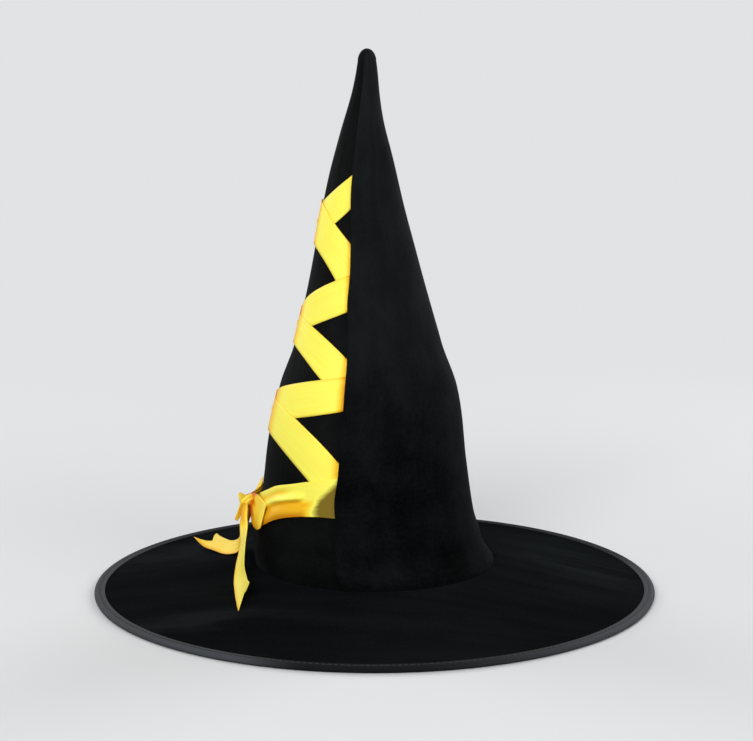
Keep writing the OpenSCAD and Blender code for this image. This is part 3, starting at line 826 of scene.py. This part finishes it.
def sewn(name, tree, values, spots=None):
    holder = bpy.data.objects.new(name + "Points", spots or bpy.data.meshes.new(name + "Points"))
    scene.collection.objects.link(holder)
    modifier = holder.modifiers.new("sewing", "NODES")
    modifier.node_group = tree
    for item in tree.interface.items_tree:
        if item.in_out == "INPUT" and item.name in values:
            modifier[item.identifier] = values[item.name]
    holder.update_tag()
    ready = holder.evaluated_get(bpy.context.evaluated_depsgraph_get())
    mesh = bpy.data.meshes.new_from_object(ready)
    mesh.name = name
    bpy.data.objects.remove(holder)
    mesh.polygons.foreach_set("use_smooth", [True] * len(mesh.polygons))
    made = bpy.data.objects.new(name, mesh)
    scene.collection.objects.link(made)
    return made


def stitchSpots(name, pairs):
    mesh = bpy.data.meshes.new(name)
    mesh.from_pydata([spot * metre for spot, ahead in pairs], [], [])
    ways = [c for spot, ahead in pairs for c in (ahead - spot).normalized()]
    mesh.attributes.new("heading", "FLOAT_VECTOR", "POINT").data.foreach_set("vector", ways)
    return mesh


tapeStitch = {"Radius": tapeShape["groove"] * metre, "Height": 0.00425, "Length": 0.0034, "Thread": 0.0007,
              "Count": 300, "Seed": 3, "Material": darkThread}
bindingStitches = sewn("bindingStitches", stitchTree("stitchRing", True), tapeStitch)
fit(bindingStitches, "binding_thread", "dark_thread")

spotTree = stitchTree("stitchSpots", False)
bandStitch = {"Length": 0.0032, "Thread": 0.0007, "Seed": 5, "Material": darkThread}
bandSeam = {"height": 50.2, "depth": bandShape["thick"] + 0.15, "count": 110}


def bandSeamPoint(angle):
    return bandPoint(angle, bandSeam["height"], bandSeam["depth"])


bandAngles = [360 / bandSeam["count"] * k for k in range(bandSeam["count"])]
bandSpots = stitchSpots("bandSpots", [(bandSeamPoint(a), bandSeamPoint(a + 1)) for a in bandAngles])
sweatbandStitches = sewn("sweatbandStitches", spotTree, bandStitch, bandSpots)
fit(sweatbandStitches, "sweatband_thread", "dark_thread")
print("stitches sewn")


# heights of each run's upper and lower edge at the hem, half way and at the side, and of each fold
laceShape = {
    "hem": 254.0, "side": 182.0, "hemFold": 260.0, "sideFold": 176.0,
    "runs": (
        ((300.6, 288.1, 277.6), (277.8, 261.7, 250.8)),
        ((253.9, 267.1, 279.4), (211.2, 235.2, 249.7)),
        ((232.5, 221.3, 206.0), (208.3, 196.3, 184.5)),
        ((176.9, 191.4, 200.0), (147.3, 166.1, 180.5)),
        ((165.0, 157.3, 145.5), (142.3, 132.9, 122.5)),
        ((108.0, 129.3, 140.8), (72.0, 99.2, 118.0)),
    ),
    "folds": ((300.6, 277.8), (280.5, 249.5), (243.0, 209.5), (205.0, 181.5), (171.0, 144.0),
              (144.5, 118.8), (103.0, 72.0)),
    "low": 0.3, "high": 0.98,  # how far an under and an over layer lie off the velvet
    "along": 42, "across": 12, "foldTurns": (25, 50, 75, 90, 105, 130, 155),
}
foldRadius = (laceShape["high"] - laceShape["low"]) / 2


def foldAngle(i):
    return laceShape["hemFold"] if i % 2 == 0 else laceShape["sideFold"]


# runs towards the hem look straight from the front, runs towards the side wind evenly round
def edgeHeight(run, edge, angle):
    a = min(laceShape["hem"], max(laceShape["side"], angle))
    if run % 2:
        start, stop, here = (math.cos(math.radians(k)) for k in (laceShape["hem"], laceShape["side"], a))
        t = (here - start) / (stop - start)
    else:
        t = (laceShape["hem"] - a) / (laceShape["hem"] - laceShape["side"])
    hem, half, side = laceShape["runs"][run][edge]
    z = hem + t * (4 * half - 3 * hem - side) + t * t * 2 * (hem - 2 * half + side)
    for turn in (run, run + 1):
        limit = laceShape["hem"] if turn % 2 == 0 else laceShape["side"]
        z = mix(z, laceShape["folds"][turn][edge], ease(limit, foldAngle(turn), angle))
    return z


def laceSpot(run, u, v):
    angle = mix(foldAngle(run), foldAngle(run + 1), u)
    z = mix(edgeHeight(run, 0, angle), edgeHeight(run, 1, angle), v)
    start = laceShape["low"] if run == 0 else laceShape["high"]
    upper = mix(start, laceShape["low"], ease(0.6, 0.97, u))
    lower = mix(start, laceShape["low"], ease(0.05, 0.5, u))
    stand = 0.16 * math.sin(math.pi * v) * math.sin(math.pi * u)  # the middle stands off a little
    ripple = 0.12 * noise.noise(Vector((u * 3 + run * 7, v * 2.2, run * 3.1)))
    # painted shade: deeper gold towards the side folds, the hem's painted shadow near the hem, a little
    # darker along both edges
    shade = 0.42 * ease(203, 184, angle) + 0.62 * ease(249, 256, angle) * (0.7 if run % 2 else 1.0)
    mark = shade + 0.12 * ease(0.1, 0.0, min(v, 1 - v))
    return crownAt(angle, z, mix(upper, lower, v) + halfThick + stand + ripple), mark


def foldSpot(fold, t, v):
    z = mix(*laceShape["folds"][fold], v)
    off = laceShape["low"] + halfThick + foldRadius * (1 - math.cos(t))
    way = 1 if fold % 2 == 0 else -1
    turned = way * foldRadius * math.sin(t) / crownRadius(z) * 180 / math.pi
    # painted shade on the turn of the fold
    return crownAt(foldAngle(fold) + turned, z, off), 0.55


laceRows = []
laceAcross = laceShape["across"]
for i in range(len(laceShape["runs"])):
    laceRows += spotRows(laceShape["along"], laceAcross, lambda u, v: laceSpot(i, u, v))
    laceRows += [[foldSpot(i + 1, math.radians(t), j / laceAcross) for j in range(laceAcross + 1)]
                 for t in laceShape["foldTurns"]]
lacingRibbon = ribbonStrip("lacingRibbon", laceRows)
fit(lacingRibbon, "lacing_ribbon", "satin")


# last run: leaves the hem flat, then a finger of ribbon stands up in it and runs into the knot
runShape = {
    "start": 259.6, "end": 187.5,
    "top": ((259.6, 98.5), (237.0, 92.9), (223.0, 88.3), (213.0, 85.2), (204.0, 80.2), (195.0, 75.8),
            (187.5, 72.4)),  # angle and height
    "low": ((259.6, 69.8), (243.0, 69.6), (231.6, 67.8), (220.5, 64.4), (212.4, 60.2), (207.5, 57.1),
            (203.0, 54.0), (198.0, 50.6), (194.0, 51.0), (187.5, 60.0)),
    "finger": 3.4, "fingerLine": 0.44, "rimRoll": 1.5, "lowRoll": 2.0,
    "along": 72, "across": 44,
}


def stepped(table, x):
    for (a, low), (b, high) in zip(table, table[1:]):
        if x >= b:
            return mix(low, high, (x - a) / (b - a))
    return table[-1][1]


def softened(table, x):
    return sum(stepped(table, x + d) for d in (-4, -2, 0, 2, 4)) / 5


def runPleat(u, v):
    ridge = runShape["fingerLine"]
    flank = 0.12 if v < ridge else 0.075  # its lower flank is the steep one
    calm = (1 - 0.62 * ease(0.6, 0.75, u)) * (1 - 0.6 * ease(0.78, 0.95, u))  # flat again beside the knot
    finger = runShape["finger"] * bump(v, ridge, flank) * ease(0.32, 0.4, u)
    rim = runShape["rimRoll"] * bump(v, 0.06, 0.1) * ease(0.3, 0.6, u)
    lower = runShape["lowRoll"] * bump(v, 0.8, 0.16) * ease(0.15, 0.6, u)
    return (finger + rim + lower) * calm


# painted shade under the finger, in the valley above it and along the lower edge, and the hem's painted
# shadow in olive at the corner
def runMark(u, v):
    ridge = runShape["fingerLine"]
    under = bump(v, ridge + 0.1, 0.06) * ease(0.33, 0.4, u)
    valley = bump(v, ridge - 0.22, 0.09) * ease(0.44, 0.6, u)
    corner = ease(-0.16, 0.26, v - 0.05 - 2.9 * (u - 0.065)) * ease(0.38, 0.18, u)
    below = (0.42 * ease(0.48, 0.66, v) + 0.22 * ease(0.8, 1.0, v)) * ease(0.12, 0.36, u)
    return mix(0.34 * under + 0.25 * valley + below, -0.34 + 0.06 * ease(0.5, 1.0, v), corner)


def runSpot(u, v):
    angle = mix(runShape["start"], runShape["end"], u)
    z = mix(softened(runShape["top"], angle), softened(runShape["low"], angle), v)
    return crownAt(angle, z, laceShape["high"] + halfThick + runPleat(u, v)), runMark(u, v)


knotRun = ribbonStrip("knotRun", spotRows(runShape["along"], runShape["across"], runSpot))
fit(knotRun, "knot_run", "satin")
print("lacing made")


# two stitches on each fold at the side
tackStitch = {"Length": 0.0038, "Thread": 0.0008, "Seed": 7, "Material": yellowThread}
tackOff = laceShape["high"] + ribbonThick + 0.25
tackPairs = []
for fold in (1, 3, 5):
    for k in (-1, 1):
        z = sum(laceShape["folds"][fold]) / 2 + 0.9 * k
        tackPairs.append((crownAt(laceShape["sideFold"] + 1.5, z, tackOff),
                          crownAt(laceShape["sideFold"] + 2.5, z + 0.3 * k, tackOff)))
foldTacks = sewn("foldTacks", spotTree, tackStitch, stitchSpots("tackSpots", tackPairs))
fit(foldTacks, "fold_tacks", "yellow_thread")
print("folds tacked")


# bow: x away from the crown, y along it to the front, z up from the knot
bowShape = {"angle": 183.0, "reach": 82.2766, "height": 68.65, "shift": -5.2, "start": 6.4, "deepest": 0.8}


def atKnot(x, y, z):
    a = math.radians(bowShape["angle"])
    r = bowShape["reach"] + x
    return Vector((r * math.cos(a) - y * math.sin(a) + bowShape["shift"],
                   r * math.sin(a) + y * math.cos(a), bowShape["height"] + z))


# the knot is the ribbon wrapped once round, in pleats, and pressed flat against the crown
knotShape = {
    "half": 4.6, "radius": 6.8, "axis": (-0.66, 0.55, -0.5), "turns": 1.02, "startTurn": 0.3,
    "pleats": 2.6, "pleatDepth": 0.5, "endTurn": 3.2,
    "out": 1.6, "nearest": -5.4, "flat": 0.8, "drop": -2.8, "lowest": -9.0, "along": 72, "across": 40,
}
knotAxis = Vector(knotShape["axis"]).normalized()
knotOut = Vector((1, 0, 0)) - knotAxis * knotAxis.x
knotOut.normalize()
knotUp = knotOut.cross(knotAxis)


def knotSpot(u, v):
    t = 2 * math.pi * u * knotShape["turns"] + knotShape["startTurn"]
    s = 2 * v - 1
    barrel = knotShape["radius"] * (0.72 + 0.28 * math.cos(math.radians(90 * s)))
    fold = math.cos(math.pi * (knotShape["pleats"] * s + 0.9 * math.sin(t + 0.6)))
    endTurn = knotShape["endTurn"] * ease(0.4, 1.0, abs(s))
    crumple = 0.6 * noise.noise(Vector((s * 1.6, 1.3 * math.cos(t), 1.3 * math.sin(t))))
    r = barrel - 0.85 + knotShape["pleatDepth"] * fold - endTurn + crumple
    r += 0.35 * u - 0.2  # the last turn lies over the first
    p = knotAxis * (knotShape["half"] * s) + knotOut * (r * math.cos(t)) + knotUp * (r * math.sin(t))
    x = max(p.x + knotShape["out"], knotShape["nearest"])
    z = max(p.z * knotShape["flat"] + knotShape["drop"], knotShape["lowest"] + 0.25 * fold)
    # painted shade in the hollows of the pleats and on the turned-in ends
    mark = 0.05 + 0.34 * ease(0.2, -0.9, fold) + 0.45 * ease(0.75, 1.0, abs(s))
    return atKnot(x, p.y, z), min(bowShape["deepest"], mark)


bowKnot = ribbonStrip("bowKnot", spotRows(knotShape["along"], knotShape["across"], knotSpot))
fit(bowKnot, "bow_knot", "satin")

# loops: lower and upper edge from the knot, over and back; way is 1 to the front and -1 to the back
loopShape = {
    "bowLoopFront": {
        "node": "bow_loop_front", "way": 1, "flat": (0.027, 0.042), "tone": (0.1, 0.14, 0.4),
        "low": ((-2.2, 0, -4.2), (-4, 4, -10.5), (-4.8, 12, -15.2), (-6.4, 21, -14.6), (-5, 23.5, -16.2),
                (-2.4, 14, -18.8), (0, 7, -15), (0.5, -2, -3.5)),
        "high": ((-2.2, 0, 1.6), (-4.2, 4, 3.6), (-6.8, 12, 3.2), (-9.2, 21.5, 1.8), (-9.8, 25, 1.8),
                 (-6.8, 16, 3.6), (-3.6, 6.5, 4.6), (-1.2, -2, 3.0)),
    },
    "bowLoopBack": {
        "node": "bow_loop_back", "way": -1, "flat": (0.0135, 0.045), "tone": (0.16, 0.1, 0.0),
        "low": ((1, 0, -1), (-4.5, 3, -3.5), (-7, 7, -4), (-2, 7, -6.6), (3, 6, -8.4), (7.6, 3.5, -7.9),
                (5.6, 4.5, -11.4), (10.6, 6, -21.3), (3.4, 4, -5.6), (2, 0, -2)),
        "high": ((1, 0, 1.4), (-6, 3, 5), (-8, 7.6, 11), (-2.4, 9, 0.7), (2.7, 11.5, -3.6), (9.2, 9.5, -1.3),
                 (8.6, 7.5, -9), (12.3, 6, -19.6), (5, 2, -2), (2, 0, 1)),
    },
}


def bowLoop(name):
    shape = loopShape[name]
    plainTone, returnTone, pinchTone = shape["tone"]

    def spotAt(u, v):
        p = through(shape["low"], u).lerp(through(shape["high"], u), v)
        ends = min(u, 1 - u)
        tight = 1 - ease(0.0, 0.24, ends)
        drawn = 2.4 * ease(0.12, 0.0, ends)  # both ends are drawn into the knot
        pleat = math.cos(2 * math.pi * 2.5 * v)
        y = shape["way"] * (bowShape["start"] + p.y - drawn)
        # painted shade: the back loop a little deeper, more where a loop turns back and where it is pinched,
        # in the pleats' hollows near the knot and along the lower edge
        turned = plainTone + returnTone * ease(0.6, 0.72, u) + pinchTone * bump(u, 0.95, 0.05)
        mark = turned + tight * (0.25 + 0.35 * ease(0.2, -0.8, pleat)) + 0.2 * ease(0.3, 0.0, v)
        return atKnot(p.x + 0.5 * tight * pleat, y, p.z), min(bowShape["deepest"], mark)

    piece = fit(ribbonStrip(name, spotRows(90, 20, spotAt)), shape["node"], "satin")


for name in loopShape:
    bowLoop(name)
print("knot and loops made")


# loose ends: both edges from the knot down to the cut, measured as the bow is
endShape = {
    "tailFront": {
        "body": "front_end", "node": "tail_front", "notch": 0.09, "tone": 0.08, "gather": (1.3, 0.42),
        "low": ((5.8, 4.2, -3.9), (7.1, 5, -13.8), (8.9, 6, -21), (8.6, 19, -30.8), (11.5, 34, -41.1),
                (12.9, 48, -48.1), (12.4, 64, -51.3), (11.3, 82, -54.3), (9.9, 99, -55.3)),
        "high": ((4, 5.4, -3.5), (4.6, 19, -10.1), (3.9, 27, -15.2), (5.1, 43, -24.1), (5.9, 58, -34.4),
                 (4.4, 70, -39.3), (3.6, 79, -39.2), (3, 85, -38.6), (2.5, 90, -37.7)),
    },
    "tailSide": {
        "body": "side_end", "node": "tail_side", "notch": 0.17, "tone": 0.2, "gather": (1.7, 0.56),
        "low": ((2.5, -2.3, -5), (4.6, -1.5, -22), (5.9, -6, -34.9), (10.3, -15, -44.9), (19.8, -31, -50.5),
                (28.7, -46, -51.4), (36.2, -60, -52), (43.2, -77, -49.5)),
        "high": ((-1.5, -4.1, -5), (3.6, -10, -19.4), (6.5, -20, -30), (9.5, -35, -40.1), (15.1, -50, -45.6),
                 (20.7, -67, -48.1), (24, -80, -49.8), (26.5, -90, -50.5)),
    },
}


def looseEnd(name):
    shape = endShape[name]
    depth, gathered = shape["gather"]
    low, high = ([atKnot(*p) for p in shape[edge]] for edge in ("low", "high"))

    def spotAt(along, v):
        u = along * (1 - shape["notch"] * (1 - abs(2 * v - 1)) ** 0.8)
        a, b = through(low, u), through(high, u)
        ahead = through(low, min(1, u + 0.01)) - through(low, max(0, u - 0.01))
        normal = (b - a).cross(ahead).normalized()
        tight = 1 - ease(0.06, gathered, u)
        pleat = math.cos(2 * math.pi * 3 * v)
        belly = 3 * ease(0.1, 0.4, u) * v * (1 - v)
        # painted shade: the side tail deeper, more in the pleats' hollows where a tail is gathered near the
        # knot and along its low edge
        mark = shape["tone"] + tight * (0.1 + 0.35 * ease(0.2, -0.8, pleat)) + 0.25 * ease(0.2, 0.0, v)
        return a.lerp(b, v) + normal * (belly + depth * tight * pleat), min(bowShape["deepest"], mark)

    piece = fit(ribbonStrip(name, spotRows(90, 40, spotAt)), shape["node"], "satin", shape["body"])


for name in endShape:
    looseEnd(name)
print("loose ends made")


# further off, where the lamps do not reach, the floor is as pale as the backdrop
floorLook = {"half": 14, "height": -0.0003, "dark": (0.68, 0.69, 0.7), "light": (0.72, 0.73, 0.74),
             "lit": 0.4, "pale": 1.0}
half, height = floorLook["half"], floorLook["height"]
corners = ((-half, -half, height), (half, -half, height), (half, half, height), (-half, half, height))
floorMesh = bpy.data.meshes.new("studioFloor")
floorMesh.from_pydata(corners, [], [(0, 1, 2, 3)])
studioFloor = bpy.data.objects.new("studioFloor", floorMesh)
floorPaint, tree, shader = newMaterial("floorPaint")
place = addNode(tree, "ShaderNodeTexCoord").outputs["Object"]
mottle = noiseOn(tree, place, 1.5, 2.0)
setInputs(tree, shader, {
    "Base Color": blend(tree, mottle, floorLook["dark"], floorLook["light"]), "Roughness": 0.85})
away = addNode(tree, "ShaderNodeVectorMath", {0: place}, operation="LENGTH").outputs["Value"]
far = addNode(tree, "ShaderNodeMapRange", {"Value": away, 1: floorLook["lit"], 2: floorLook["pale"]},
              interpolation_type="SMOOTHSTEP").outputs[0]
paleFloor = addNode(tree, "ShaderNodeEmission", {"Color": roomLook["backdrop"], "Strength": 1.0})
floorMix = addNode(tree, "ShaderNodeMixShader", {
    0: times(tree, far, seenDirectly(tree)), 1: shader.outputs[0], 2: paleFloor.outputs[0]})
tree.links.new(floorMix.outputs[0], tree.nodes["Material Output"].inputs["Surface"])
floorMesh.materials.append(floorPaint)
scene.collection.objects.link(studioFloor)
print("floor laid")
